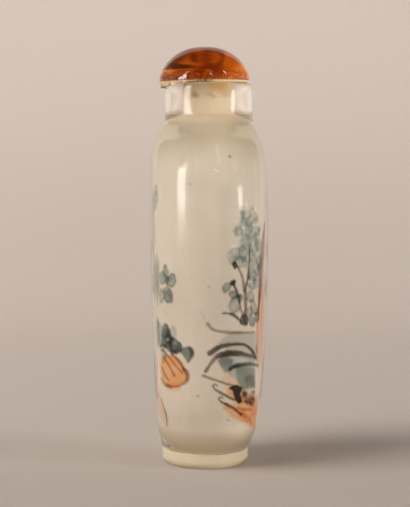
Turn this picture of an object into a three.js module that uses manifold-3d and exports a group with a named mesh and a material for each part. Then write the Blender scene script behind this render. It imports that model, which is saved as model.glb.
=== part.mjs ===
// A flattened glass snuff bottle with a domed glass stopper on a short cork.
// Millimetres, +Z up, with the origin at the centre of the foot's underside level.
// The broad faces look towards -Y (front) and +Y (back), and the narrow sides towards -X and +X.

import * as THREE from 'three';
import Module from 'manifold-3d';
import { mergeVertices } from 'three/addons/utils/BufferGeometryUtils.js';

// Facets
const BOTTLE_SIDES = 64;
const BODY_RINGS = 24;
const CAVITY_RINGS = 20;
const LIP_STEPS = 4;
const STOPPER_SIDES = 48;
const DOME_STEPS = 12;
const CORK_SIDES = 24;

// Foot: a solid oval plinth, ground flat below, with a bevelled bottom edge
const FOOT_HALF_WIDTH = 12;
const FOOT_HALF_THICKNESS = 8.4;
const FOOT_SIDE_TOP = 2.75;
const FOOT_BEVEL = 0.95;
const FOOT_GROOVE_Z = 3.05;
const FOOT_GROOVE_DEPTH = 0.22;

// Body, from the foot to the neck: [height, half thickness along Y, half width along X]
const BODY_STATIONS = [
  [3.35, 8.45, 12.6],
  [4.7, 8.95, 14.1],
  [6.85, 9.6, 15.9],
  [9.75, 10.05, 17.3],
  [15.5, 10.4, 18.7],
  [24.2, 10.9, 19.9],
  [35.8, 11.3, 20.8],
  [46, 11.35, 21],
  [53.5, 11.25, 20.7],
  [58, 11, 19.6],
  [61.2, 10.55, 17.3],
  [62.8, 9.75, 14.8],
  [64.2, 8.95, 11.8],
  [65.4, 8.4, 9.3],
  [66.6, 8.3, 8.3],
];

// Cavity, from the bore down to its floor: [height, half thickness along Y, half width along X]
const CAVITY_STATIONS = [
  [66.6, 3.2, 3.2],
  [65.6, 3.9, 4.3],
  [64.4, 5.4, 7.2],
  [62.6, 7.1, 11.2],
  [60, 8.3, 14.6],
  [56, 9.05, 17],
  [48.8, 9.35, 18],
  [36, 9.3, 17.8],
  [24, 8.9, 16.9],
  [15.5, 8.4, 15.6],
  [10.6, 7.8, 14],
  [8.2, 6.9, 12.1],
  [6.9, 5.5, 9.5],
  [6.2, 3.3, 5.8],
];
const CAVITY_FLOOR_Z = 6;

// How far the hand-made glass strays from its axis: [height, shift towards +Y]
const LEAN_STATIONS = [
  [0, 0.8],
  [3.05, 0.8],
  [5.2, 0.5],
  [9, 0.2],
  [16, 0.12],
  [25, 0],
  [48, 0],
  [61, 0.32],
  [66.6, 0.14],
];

// An oval's end radius, as a share of its half thickness
const FOOT_ROUNDNESS = 0.75;
const BODY_ROUNDNESS = 0.93;
const ROUNDNESS_FULL_Z = 16;

// Neck
const NECK_RADIUS = 8.5;
const NECK_WAIST_TOP_Z = 68;
const RIM_Z = 73;
const LIP_HEIGHT = 2.2;
const LIP_WIDTH = 0.62;
const BORE_RADIUS = 3.2;
const BORE_CHAMFER = 0.3;

// Stopper: a low dome, pushed towards +Y, that overhangs the rim on that side
const TOP_Z = 80;
const STOPPER_RADIUS = 8.7;
const STOPPER_SHIFT_Y = 0.92;
const STOPPER_TILT = THREE.MathUtils.degToRad(1);
const STOPPER_EDGE = 0.15;
const DOME_SIDE_POWER = 2.3;
const DOME_TOP_POWER = 1.6;
const CLEARANCE = 0.3;
const STOPPER_BASE_Z = RIM_Z + CLEARANCE + STOPPER_RADIUS * Math.sin(STOPPER_TILT);

// Old cement under the overhang: deepest at the +Y edge, and gone by the stopper's middle
const CEMENT_DEPTH = 1.4;
const CEMENT_END_Y = 0.6;
const CEMENT_ROOT = 0.4;

// Cork
const CORK_TOP_RADIUS = BORE_RADIUS - CLEARANCE;
const CORK_BOTTOM_RADIUS = 2.6;
const CORK_TOP_Z = RIM_Z - 0.1;
const CORK_LENGTH = 2.4;
const CORK_EDGE = 0.35;

const wasm = await Module();
wasm.setup();

// One level of the bottle's wall: its height, its half sizes and how far it is shifted along Y.
function ring(z, halfThickness, halfWidth) {
  return { z, halfThickness, halfWidth, shiftY: leanAt(z) };
}

// The wall's shift towards +Y at this height, eased from one station to the next.
function leanAt(z) {
  const next = LEAN_STATIONS.findIndex(([height]) => height > z);
  if (next < 0) return LEAN_STATIONS.at(-1)[1];
  const [lowZ, lowShift] = LEAN_STATIONS[next - 1];
  const [highZ, highShift] = LEAN_STATIONS[next];
  return THREE.MathUtils.lerp(lowShift, highShift, THREE.MathUtils.smoothstep(z, lowZ, highZ));
}

// How round the ends of the oval are at this height.
function roundnessAt(z) {
  const t = THREE.MathUtils.smoothstep(z, FOOT_GROOVE_Z, ROUNDNESS_FULL_Z);
  return THREE.MathUtils.lerp(FOOT_ROUNDNESS, BODY_ROUNDNESS, t);
}

// An oval of four tangent arcs: two round ends on X, and two long flatter faces on Y.
function ovalOutline(halfWidth, halfThickness, roundness) {
  const endRadius = roundness * halfThickness;
  const endX = halfWidth - endRadius;
  const depth = halfThickness - endRadius;
  const faceRadius = (endX * endX / depth + endRadius + halfThickness) / 2;
  const faceY = faceRadius - halfThickness;
  const turn = Math.atan2(faceY, endX);
  const outline = new THREE.Path();
  outline.absarc(endX, 0, endRadius, 0, turn);
  outline.absarc(0, -faceY, faceRadius, turn, Math.PI - turn);
  outline.absarc(-endX, 0, endRadius, Math.PI - turn, Math.PI + turn);
  outline.absarc(0, faceY, faceRadius, Math.PI + turn, 2 * Math.PI - turn);
  outline.absarc(endX, 0, endRadius, 2 * Math.PI - turn, 2 * Math.PI);
  return outline;
}

// Levels on a smooth curve through a list of stations.
function ringsThrough(stations, count) {
  const points = stations.map(([z, thickness, width]) => new THREE.Vector3(thickness, width, z));
  const curve = new THREE.CatmullRomCurve3(points, false, 'centripetal');
  return curve.getSpacedPoints(count).map((p) => ring(p.z, p.x, p.y));
}

// The foot, from the middle of its underside to the groove below the body.
function footRings() {
  const bottomThickness = FOOT_HALF_THICKNESS - FOOT_BEVEL;
  const bottomWidth = FOOT_HALF_WIDTH - FOOT_BEVEL;
  const grooveThickness = FOOT_HALF_THICKNESS - FOOT_GROOVE_DEPTH;
  const grooveWidth = FOOT_HALF_WIDTH - FOOT_GROOVE_DEPTH;
  return [
    ring(0, 0, 0),
    ring(0, bottomThickness, bottomWidth),
    ring(FOOT_BEVEL, FOOT_HALF_THICKNESS, FOOT_HALF_WIDTH),
    ring(FOOT_SIDE_TOP, FOOT_HALF_THICKNESS, FOOT_HALF_WIDTH),
    ring(FOOT_GROOVE_Z, grooveThickness, grooveWidth),
  ];
}

// The neck's outside, its rounded lip, the flat rim and the bore's chamfer.
function neckRings() {
  const lipBottomZ = RIM_Z - LIP_HEIGHT;
  const rings = [ring(NECK_WAIST_TOP_Z, NECK_RADIUS, NECK_RADIUS)];
  for (let i = 0; i <= LIP_STEPS; i++) {
    const angle = (i / LIP_STEPS) * Math.PI / 2;
    const radius = NECK_RADIUS - LIP_WIDTH * (1 - Math.cos(angle));
    rings.push(ring(lipBottomZ + LIP_HEIGHT * Math.sin(angle), radius, radius));
  }
  const chamferRadius = BORE_RADIUS + BORE_CHAMFER;
  rings.push(ring(RIM_Z, chamferRadius, chamferRadius));
  rings.push(ring(RIM_Z - BORE_CHAMFER, BORE_RADIUS, BORE_RADIUS));
  return rings;
}

// A turned shell whose round levels are then set to the bottle's ovals.
function bottleGeometry() {
  const rings = [
    ...footRings(),
    ...ringsThrough(BODY_STATIONS, BODY_RINGS),
    ...neckRings(),
    ...ringsThrough(CAVITY_STATIONS, CAVITY_RINGS),
    ring(CAVITY_FLOOR_Z, 0, 0),
  ];
  const profile = rings.map((level) => new THREE.Vector2(level.halfThickness, level.z));
  const geometry = new THREE.LatheGeometry(profile, BOTTLE_SIDES);
  const position = geometry.getAttribute('position');
  rings.forEach((level, row) => {
    const middle = level.halfThickness === 0;
    const outline = middle ? null : outlinePoints(level);
    for (let side = 0; side <= BOTTLE_SIDES; side++) {
      const point = middle ? new THREE.Vector2() : outline[side % BOTTLE_SIDES];
      const index = side * rings.length + row;
      position.setXYZ(index, point.x, point.y + level.shiftY, level.z);
    }
  });
  return geometry;
}

function outlinePoints(level) {
  const roundness = roundnessAt(level.z);
  return ovalOutline(level.halfWidth, level.halfThickness, roundness).getSpacedPoints(BOTTLE_SIDES);
}

// Turns a profile of [radius, height] pairs about the Z axis.
function turned(pairs, sides) {
  const profile = pairs.map(([radius, z]) => new THREE.Vector2(radius, z));
  return new THREE.LatheGeometry(profile, sides).rotateX(Math.PI / 2);
}

// The dome alone, standing on its base at height 0.
function domeGeometry(height) {
  const pairs = [[0, 0], [STOPPER_RADIUS - STOPPER_EDGE, 0]];
  for (let i = 0; i <= DOME_STEPS; i++) {
    const angle = (i / DOME_STEPS) * Math.PI / 2;
    const z = STOPPER_EDGE + (height - STOPPER_EDGE) * Math.sin(angle) ** (2 / DOME_TOP_POWER);
    const radius = STOPPER_RADIUS * Math.cos(angle) ** (2 / DOME_SIDE_POWER);
    pairs.push([i === DOME_STEPS ? 0 : radius, z]);
  }
  return turned(pairs, STOPPER_SIDES);
}

// The space that the neck's lip takes up, with the clearance round it.
function lipSpace() {
  const pairs = [[0, RIM_Z - 2 * LIP_HEIGHT], [NECK_RADIUS + CLEARANCE, RIM_Z - 2 * LIP_HEIGHT]];
  for (let i = 0; i <= LIP_STEPS; i++) {
    const angle = (i / LIP_STEPS) * Math.PI / 2;
    const radius = NECK_RADIUS + CLEARANCE - LIP_WIDTH * (1 - Math.cos(angle));
    pairs.push([radius, RIM_Z - LIP_HEIGHT + (LIP_HEIGHT + CLEARANCE) * Math.sin(angle)]);
  }
  pairs.push([0, RIM_Z + CLEARANCE]);
  return turned(pairs, BOTTLE_SIDES).translate(0, leanAt(RIM_Z), 0);
}

// A disc under the stopper, cut on a slope so that only its +Y edge is deep.
function cementDisc() {
  const disc = turned([
    [0, -CEMENT_DEPTH],
    [STOPPER_RADIUS - STOPPER_EDGE, -CEMENT_DEPTH],
    [STOPPER_RADIUS - STOPPER_EDGE, CEMENT_ROOT],
    [0, CEMENT_ROOT],
  ], STOPPER_SIDES);
  const slope = Math.atan2(CEMENT_DEPTH, STOPPER_RADIUS - CEMENT_END_Y);
  const size = 4 * STOPPER_RADIUS;
  const cutter = new THREE.BoxGeometry(size, size, size).translate(0, 0, -size / 2);
  cutter.rotateX(-slope).translate(0, CEMENT_END_Y, 0);
  return toManifold(disc).subtract(toManifold(cutter));
}

function toManifold(geometry) {
  const bare = geometry.clone();
  bare.deleteAttribute('normal');
  bare.deleteAttribute('uv');
  const merged = mergeVertices(bare);
  const vertProperties = Float32Array.from(merged.getAttribute('position').array);
  const triVerts = Uint32Array.from(merged.getIndex().array);
  return new wasm.Manifold(new wasm.Mesh({ numProp: 3, vertProperties, triVerts }));
}

function fromManifold(solid) {
  const mesh = solid.getMesh();
  const geometry = new THREE.BufferGeometry();
  geometry.setAttribute('position', new THREE.BufferAttribute(mesh.vertProperties, mesh.numProp));
  geometry.setIndex(new THREE.BufferAttribute(mesh.triVerts, 1));
  geometry.computeVertexNormals();
  return geometry;
}

// The dome with the cement under its overhang, in its own frame: the base's centre is the origin.
function stopperGeometry() {
  const dome = toManifold(domeGeometry(TOP_Z - STOPPER_BASE_Z));
  const place = stopperPlace().invert();
  const lip = toManifold(lipSpace().applyMatrix4(place));
  return fromManifold(dome.add(cementDisc().subtract(lip)));
}

function stopperPlace() {
  const tilt = new THREE.Matrix4().makeRotationX(-STOPPER_TILT);
  return tilt.setPosition(0, STOPPER_SHIFT_Y, STOPPER_BASE_Z);
}

function corkGeometry() {
  const bottomZ = -CORK_LENGTH;
  return turned([
    [0, bottomZ],
    [CORK_BOTTOM_RADIUS - CORK_EDGE, bottomZ],
    [CORK_BOTTOM_RADIUS, bottomZ + CORK_EDGE],
    [CORK_TOP_RADIUS, -CORK_EDGE],
    [CORK_TOP_RADIUS - CORK_EDGE, 0],
    [0, 0],
  ], CORK_SIDES);
}

function bottle() {
  const material = new THREE.MeshStandardMaterial({
    color: 0xd8c9ae,
    roughness: 0.2,
    metalness: 0,
    transparent: true,
    opacity: 0.5,
    name: 'clear_glass',
  });
  const mesh = new THREE.Mesh(bottleGeometry(), material);
  mesh.name = 'bottle';
  return mesh;
}

function stopper() {
  const material = new THREE.MeshStandardMaterial({
    color: 0x9a4408,
    roughness: 0.1,
    metalness: 0,
    name: 'amber_glass',
  });
  const mesh = new THREE.Mesh(stopperGeometry(), material);
  mesh.name = 'stopper';
  mesh.position.set(0, STOPPER_SHIFT_Y, STOPPER_BASE_Z);
  mesh.rotation.x = -STOPPER_TILT;
  return mesh;
}

function stopperCork() {
  const material = new THREE.MeshStandardMaterial({
    color: 0xb98f5a,
    roughness: 0.85,
    metalness: 0,
    name: 'cork',
  });
  const mesh = new THREE.Mesh(corkGeometry(), material);
  mesh.name = 'stopper_cork';
  mesh.position.set(0, leanAt(RIM_Z), CORK_TOP_Z);
  return mesh;
}

const group = new THREE.Group();
group.name = 'snuff_bottle';
group.add(bottle(), stopper(), stopperCork());

export default group;
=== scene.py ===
"""Looks of the inside-painted glass snuff bottle: clear thick glass over a frosted, painted inner wall,
an amber glass stopper on old cement, and its cork. Lengths are in millimetres unless they say metres."""

import random
from math import atan2, cos, pi, radians, sin, sqrt

import bpy
import numpy as np
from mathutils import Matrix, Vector


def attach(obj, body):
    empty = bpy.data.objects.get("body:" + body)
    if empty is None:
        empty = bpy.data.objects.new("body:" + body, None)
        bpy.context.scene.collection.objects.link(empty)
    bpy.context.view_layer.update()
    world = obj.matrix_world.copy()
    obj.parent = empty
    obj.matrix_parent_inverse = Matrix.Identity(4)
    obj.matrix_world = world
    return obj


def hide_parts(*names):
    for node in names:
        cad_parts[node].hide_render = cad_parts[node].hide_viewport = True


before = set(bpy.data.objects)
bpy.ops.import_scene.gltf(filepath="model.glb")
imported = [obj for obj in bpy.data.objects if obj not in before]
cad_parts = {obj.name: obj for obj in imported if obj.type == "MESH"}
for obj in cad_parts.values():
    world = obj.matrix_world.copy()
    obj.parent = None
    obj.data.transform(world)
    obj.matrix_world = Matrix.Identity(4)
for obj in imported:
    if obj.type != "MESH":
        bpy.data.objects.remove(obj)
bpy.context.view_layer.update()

MM = 0.001

# ---- the bottle's shape, as the CAD model has it

FOOT_HALF_WIDTH = 12.0
FOOT_HALF_THICKNESS = 8.4
FOOT_SIDE_TOP = 2.75
FOOT_BEVEL = 0.95
FOOT_GROOVE_Z = 3.05
FOOT_GROOVE_DEPTH = 0.22
BODY_STATIONS = (  # height, half thickness along Y, half width along X
    (3.35, 8.45, 12.6), (4.7, 8.95, 14.1), (6.85, 9.6, 15.9), (9.75, 10.05, 17.3), (15.5, 10.4, 18.7),
    (24.2, 10.9, 19.9), (35.8, 11.3, 20.8), (46, 11.35, 21), (53.5, 11.25, 20.7), (58, 11, 19.6),
    (61.2, 10.55, 17.3), (62.8, 9.75, 14.8), (64.2, 8.95, 11.8), (65.4, 8.4, 9.3), (66.6, 8.3, 8.3),
)
CAVITY_STATIONS = (
    (66.6, 3.2, 3.2), (65.6, 3.9, 4.3), (64.4, 5.4, 7.2), (62.6, 7.1, 11.2), (60, 8.3, 14.6),
    (56, 9.05, 17), (48.8, 9.35, 18), (36, 9.3, 17.8), (24, 8.9, 16.9), (15.5, 8.4, 15.6),
    (10.6, 7.8, 14), (8.2, 6.9, 12.1), (6.9, 5.5, 9.5), (6.2, 3.3, 5.8), (6.0, 0.02, 0.03),
)
LEAN_STATIONS = (  # height, shift towards +Y
    (0, 0.8), (3.05, 0.8), (5.2, 0.5), (9, 0.2), (16, 0.12),
    (25, 0), (48, 0), (61, 0.32), (66.6, 0.14), (100, 0.14),
)
FOOT_ROUNDNESS = 0.75
BODY_ROUNDNESS = 0.93
ROUNDNESS_FULL_Z = 16
NECK_RADIUS = 8.5
NECK_WAIST_TOP_Z = 68
RIM_Z = 73.0
LIP_HEIGHT = 2.2
LIP_WIDTH = 0.62
BORE_RADIUS = 3.2
BORE_CHAMFER = 0.3

GLASS_SIDES = 224
GLASS_SHARES = np.arange(GLASS_SIDES) / GLASS_SIDES
CORNER_STEPS = 5


def ease(x, low, high):
    """0 up to low, 1 from high, and a smooth S between."""
    t = np.clip((np.asarray(x, float) - low) / (high - low), 0, 1)
    return t * t * (3 - 2 * t)


def window(x, rise, full, fade, gone):
    """1 from full to fade, running smoothly down to 0 at rise and at gone."""
    return ease(x, rise, full) * (1 - ease(x, fade, gone))


def lean_at(z):
    z = np.asarray(z, float)
    shift = np.full(z.shape, LEAN_STATIONS[-1][1], float)
    for (low, a), (high, b) in zip(LEAN_STATIONS, LEAN_STATIONS[1:]):
        inside = (z >= low) & (z < high)
        shift = np.where(inside, a + (b - a) * ease(z, low, high), shift)
    return shift


def roundness_at(z):
    return FOOT_ROUNDNESS + (BODY_ROUNDNESS - FOOT_ROUNDNESS) * ease(z, FOOT_GROOVE_Z, ROUNDNESS_FULL_Z)


def curve_through(stations, step):
    """A smooth path of levels through the stations (a centripetal Catmull-Rom curve), about step apart."""
    p = np.array(stations, float)
    p = np.vstack([2 * p[0] - p[1], p, 2 * p[-1] - p[-2]])
    dense = []
    for i in range(1, len(p) - 2):
        near = p[i - 1 : i + 3]
        knots = np.cumsum([0, *np.linalg.norm(np.diff(near, axis=0), axis=1) ** 0.5])
        t = np.linspace(knots[1], knots[2], 40, endpoint=i == len(p) - 3)[:, None]

        def blend(a, b, low, high):
            share = (t - knots[low]) / (knots[high] - knots[low])
            return a * (1 - share) + b * share

        first, middle, last = (blend(near[k], near[k + 1], k, k + 1) for k in range(3))
        dense.append(blend(blend(first, middle, 0, 2), blend(middle, last, 1, 3), 1, 2))
    return evenly(np.vstack(dense), step)


def evenly(path, step):
    """The same path with its points an even step apart."""
    along = np.concatenate([[0], np.cumsum(np.linalg.norm(np.diff(path, axis=0), axis=1))])
    count = max(2, int(round(along[-1] / step)) + 1)
    places = np.linspace(0, along[-1], count)
    return np.stack([np.interp(places, along, path[:, k]) for k in range(path.shape[1])], axis=1)


def eased(path, rounds):
    """Smooths a dense path a little, with its ends kept."""
    path = path.copy()
    for _ in range(rounds):
        path[1:-1] = 0.5 * path[1:-1] + 0.25 * (path[:-2] + path[2:])
    return path


def softened(corners, radius):
    """A path of straight runs with each inner corner rounded by a short curve."""
    corners = [np.array(c, float) for c in corners]
    path = [corners[0]]
    for before, corner, after in zip(corners, corners[1:], corners[2:]):
        back, ahead = before - corner, after - corner
        reach = min(radius, 0.45 * np.linalg.norm(back), 0.45 * np.linalg.norm(ahead))
        start = corner + back / np.linalg.norm(back) * reach
        end = corner + ahead / np.linalg.norm(ahead) * reach
        for t in np.linspace(0, 1, CORNER_STEPS):
            path.append((1 - t) ** 2 * start + 2 * t * (1 - t) * corner + t * t * end)
    return np.array(path + [corners[-1]])


def oval(width, thickness, roundness, shares):
    """Points of an oval of four tangent arcs, at these shares of its outline, from +X towards +Y."""
    end = roundness * thickness
    end_x = width - end
    depth = thickness - end
    face = (end_x * end_x / depth + end + thickness) / 2
    turn = atan2(face - thickness, end_x)
    end_run = end * turn
    face_run = face * (pi / 2 - turn)
    quarter = end_run + face_run
    s = (np.asarray(shares, float) % 1) * 4 * quarter
    part = np.minimum((s // quarter).astype(int), 3)
    along = s - part * quarter
    along = np.where(part % 2 == 1, quarter - along, along)
    on_end = along <= end_run
    angle = np.where(on_end, along / end, turn + (along - end_run) / face)
    x = np.where(on_end, end_x + end * np.cos(angle), face * np.cos(angle))
    y = np.where(on_end, end * np.sin(angle), face * np.sin(angle) - (face - thickness))
    x = np.where((part == 1) | (part == 2), -x, x)
    y = np.where(part >= 2, -y, y)
    return np.stack([x, y], axis=1), 4 * quarter


def level_points(z, thickness, width, shares):
    """The wall's points round one level, in millimetres, and the length of its outline."""
    points, around = oval(width, thickness, float(roundness_at(z)), shares)
    out = np.column_stack([points, np.full(len(shares), z)])
    out[:, 1] += float(lean_at(z))
    return out, around


def mesh_object(name, points, faces):
    """A smooth mesh object from points in millimetres."""
    mesh = bpy.data.meshes.new(name)
    mesh.from_pydata((np.asarray(points) * MM).tolist(), [], [list(map(int, f)) for f in faces])
    mesh.validate()
    mesh.update()
    mesh.polygons.foreach_set("use_smooth", [True] * len(mesh.polygons))
    obj = bpy.data.objects.new(name, mesh)
    bpy.context.scene.collection.objects.link(obj)
    return obj


def add_layer(obj, name, values):
    """Stores a number, or a colour of three parts, for each of a mesh's points."""
    if np.ndim(values) == 1:
        obj.data.attributes.new(name, "FLOAT", "POINT").data.foreach_set("value", values)
        return
    layer = obj.data.color_attributes.new(name, "FLOAT_COLOR", "POINT")
    layer.data.foreach_set("color", np.column_stack([values, np.ones(len(values))]).ravel())


def grid_faces(rows, columns, closed, first=0):
    """Quads between rows of points; closed joins the last column to the first."""
    r, c = np.meshgrid(np.arange(rows - 1), np.arange(columns if closed else columns - 1), indexing="ij")
    low, after = first + r * columns, (c + 1) % columns
    high = low + columns
    return np.stack([low + c, low + after, high + after, high + c], axis=-1).reshape(-1, 4)


def fan(middle, first, sides, forward):
    """Triangles from a middle point to a closed ring of points that starts at first."""
    pairs = [(first + side, first + (side + 1) % sides) for side in range(sides)]
    return [(middle, a, b) if forward else (middle, b, a) for a, b in pairs]


def capped(name, rings, first, last):
    """A closed solid from equal rings of points, with a fan from a point at each end."""
    sides = len(rings[0])
    count = len(rings) * sides
    faces = grid_faces(len(rings), sides, True).tolist()
    faces += fan(count, 0, sides, False) + fan(count + 1, count - sides, sides, True)
    return mesh_object(name, np.vstack([*rings, [first], [last]]), faces)


def foot_path():
    """The foot's outside, up to the groove below the body."""
    groove = (FOOT_GROOVE_Z, FOOT_HALF_THICKNESS - FOOT_GROOVE_DEPTH, FOOT_HALF_WIDTH - FOOT_GROOVE_DEPTH)
    return softened(foot_corners(0) + [groove, BODY_STATIONS[0]], 0.3)


def neck_path():
    """The neck's outside, its rounded lip, the rim, the chamfer and the bore."""
    bottom = RIM_Z - LIP_HEIGHT
    path = [(NECK_WAIST_TOP_Z, NECK_RADIUS, NECK_RADIUS)]
    for angle in np.linspace(0, pi / 2, 12):
        radius = NECK_RADIUS - LIP_WIDTH * (1 - cos(angle))
        path.append((bottom + LIP_HEIGHT * sin(angle), radius, radius))
    mouth = BORE_RADIUS + BORE_CHAMFER
    path += [(RIM_Z, mouth, mouth), (RIM_Z - BORE_CHAMFER, BORE_RADIUS, BORE_RADIUS), CAVITY_STATIONS[0]]
    return softened(path, 0.15)


def cavity_path(step):
    return evenly(eased(curve_through(CAVITY_STATIONS, 0.25), 20), step)


def glass_bottle():
    """The clear glass: outside wall, rim, bore and cavity in one closed skin."""
    neck = neck_path()
    body = evenly(np.vstack([curve_through(BODY_STATIONS, 0.35), neck[:1]]), 0.4)
    path = np.vstack([foot_path()[:-1], eased(body, 36), neck[1:], cavity_path(0.5)[1:]])
    path = path[np.concatenate([[True], np.linalg.norm(np.diff(path, axis=0), axis=1) > 1e-4])]
    rings = [level_points(*level, GLASS_SHARES)[0] for level in path]
    floor_z = CAVITY_STATIONS[-1][0]
    return capped("bottle_glass", rings, (0, float(lean_at(0)), 0), (0, float(lean_at(floor_z)), floor_z))


# ---- materials


class Graph:
    """A node tree under construction: each node is made, filled in and linked by one call."""

    def __init__(self, owner, last="OutputMaterial"):
        owner.use_nodes = True
        self.owner, self.tree = owner, owner.node_tree
        self.tree.nodes.clear()
        self.last = self.tree.nodes.new("ShaderNode" + last)

    def fill(self, socket, value):
        """Sets a socket, or links it where the value is another node's output."""
        if isinstance(value, bpy.types.NodeSocket):
            self.tree.links.new(value, socket)
        else:
            socket.default_value = (*value, 1) if socket.type == "RGBA" else value

    def add(self, kind, sockets=None, out=0, **settings):
        """Makes a node and returns one of its outputs."""
        node = self.tree.nodes.new("ShaderNode" + kind)
        for name, value in settings.items():
            setattr(node, name, value)
        for socket, value in (sockets or {}).items():
            self.fill(node.inputs[socket], value)
        return node.outputs[out]

    def place(self):
        return self.add("TexCoord", out="Object")

    def noise(self, scale, detail):
        return self.add("TexNoise", {"Vector": self.place(), "Scale": scale, "Detail": detail})

    def layer(self, name, out="Fac"):
        return self.add("Attribute", out=out, attribute_name=name)

    def bump(self, height, strength, distance):
        return self.add("Bump", {"Height": height, "Strength": strength, "Distance": distance})

    def math(self, operation, *values):
        return self.add("Math", dict(enumerate(values)), operation=operation)

    def mix(self, share, first, second, **settings):
        return self.add("Mix", {"Factor": share, "A": first, "B": second}, "Result", data_type="RGBA", **settings)

    def ranged(self, value, low, high, end="From", **settings):
        return self.add("MapRange", {"Value": value, end + " Min": low, end + " Max": high}, **settings)

    def scaled(self, colour, share):
        return self.add("VectorMath", {0: colour, "Scale": share}, operation="SCALE")

    def end(self, surface, volume=None):
        self.fill(self.last.inputs["Surface"], surface)
        if volume is not None:
            self.fill(self.last.inputs["Volume"], volume)
        return self.owner

    def end_as_glass(self, sockets, lamp_tint, depth_tint, density):
        """Glass that the lamps' light passes, so that what it covers is lit without caustics."""
        glass = self.add("BsdfPrincipled", {"Transmission Weight": 1.0, **sockets})
        clear = self.add("BsdfTransparent", {"Color": lamp_tint})
        lamp = self.add("LightPath", out="Is Shadow Ray")
        depth = self.add("VolumeAbsorption", {"Color": depth_tint, "Density": density})
        return self.end(self.add("MixShader", {"Fac": lamp, 1: glass, 2: clear}), depth)


def material_graph(name):
    return Graph(bpy.data.materials.new(name))


def clear_glass():
    graph = material_graph("clear_glass")
    waves = graph.bump(graph.noise(160, 2), 0.05, 0.0004)
    glass = {"Base Color": (0.99, 0.97, 0.94), "Roughness": 0.16, "IOR": 1.5, "Normal": waves}
    return graph.end_as_glass(glass, (0.93, 0.92, 0.88), (0.87, 0.76, 0.54), 14)


# ---- the frosted and painted inner wall

FILM_LIFT = 0.04  # how far the frosting and the paint lie inside the glass, so no air shows between
FROST = (0.655, 0.607, 0.553)
FILM_GLOW = 0.35  # the share of light the frosting lets through
# The foot's three colours below are one ground glass, painted lighter or darker by which way each face looks: painted
# light and shade, the underside painted palest.
GROUND_FOOT = (0.66, 0.59, 0.45)
UNDERSIDE = (0.94, 0.88, 0.76)
FOOT_SIDE = (0.61, 0.56, 0.45)
PALE_GREY = (0.72, 0.77, 0.80)
LEAF_PALE = (0.66, 0.74, 0.76)
LEAF_GREY = (0.42, 0.53, 0.55)
LEAF_GREEN = (0.28, 0.35, 0.34)
DEEP_GREEN = (0.14, 0.19, 0.19)
OLIVE = (0.30, 0.31, 0.22)
BARK = (0.14, 0.115, 0.08)
RUST_BARK = (0.24, 0.15, 0.10)
INK = (0.03, 0.028, 0.025)
SEPIA = (0.30, 0.235, 0.155)
SEPIA_GOLD = (0.52, 0.36, 0.16)
RUST = (0.62, 0.27, 0.10)
ORANGE = (1.0, 0.56, 0.26)
PEACH = (1.02, 0.80, 0.66)
PINK = (0.98, 0.76, 0.72)
PALE = (1.3, 1.26, 1.18)
YELLOWED = (1.0, 0.97, 0.87)
WARMED = (1.0, 0.97, 0.95)
BORE_STAIN = (0.78, 0.62, 0.38)
SMUDGE = (0.50, 0.44, 0.34)
PAINTED_HIGHLIGHT_STREAK = (1.12, 1.13, 1.15)
PALEST = 0.95
NOISE_CELLS = (61, 67)
FACE_MIDDLE_S = 27  # how far round the wall from the near tip the middle of each broad face lies
FAR_TIP_S = 45
NEAR_COLUMNS = 262
FAR_COLUMNS = 222


def film_path():
    """Levels of the inner wall, from the bore's mouth to the middle of the cavity's floor."""
    mouth = (RIM_Z - BORE_CHAMFER - 0.05, BORE_RADIUS, BORE_RADIUS)
    bore = np.array([mouth, (CAVITY_STATIONS[0][0], BORE_RADIUS, BORE_RADIUS)], float)
    path = np.vstack([evenly(bore, 0.25)[:-1], cavity_path(0.25)])
    out, down = np.gradient(path[:, 1:].mean(axis=1)), np.gradient(path[:, 0])
    run = np.hypot(out, down)
    return path + FILM_LIFT * np.stack([out / run, -down / run, -down / run], axis=1)


def film_half(name, low_share, high_share, columns):
    """One half of the inner wall, between two shares of its outline, with each point's place across it, height
    and distance from the far tip."""
    shares = np.linspace(low_share, high_share, columns)
    turns = (shares + 1e-9) % 1
    rings, arounds = zip(*(level_points(*level, shares) for level in film_path()))
    points = np.vstack(rings)
    half = mesh_object(name, points, grid_faces(len(rings), columns, False))
    across = np.outer(arounds, 0.5 - turns).ravel()
    seam = np.outer(arounds, 0.5 - abs(0.5 - turns)).ravel()
    return half, across, points[:, 2], seam


def foot_corners(lift):
    """Levels from near the middle of the foot's underside up its side, this far inside the glass."""
    t, w = FOOT_HALF_THICKNESS - lift, FOOT_HALF_WIDTH - lift
    return [(lift, 0.4, 0.6), (lift, t - FOOT_BEVEL, w - FOOT_BEVEL), (FOOT_BEVEL, t, w), (FOOT_SIDE_TOP, t, w)]


def ground_foot():
    """The foot's ground underside, bevel and side, as a matt film just inside the glass. Light and shade are painted
    into it: each face gets its own colour, the underside the palest.
    """
    path = evenly(softened(foot_corners(FILM_LIFT), 0.3), 0.4)
    rings = [level_points(*level, GLASS_SHARES)[0] for level in path]
    points = np.vstack([*rings, [[0, float(lean_at(0)), FILM_LIFT]]])
    faces = grid_faces(len(rings), GLASS_SIDES, True).tolist() + fan(len(points) - 1, 0, GLASS_SIDES, False)
    foot = mesh_object("ground_foot", points, faces)
    # Painted light and shade: one colour for the side, one for the bevel, a much paler one for the underside.
    add_layer(foot, "paint", [FOOT_SIDE if z > FOOT_BEVEL else GROUND_FOOT if z > 2 * FILM_LIFT else UNDERSIDE
                              for z in points[:, 2]])
    return foot


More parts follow.
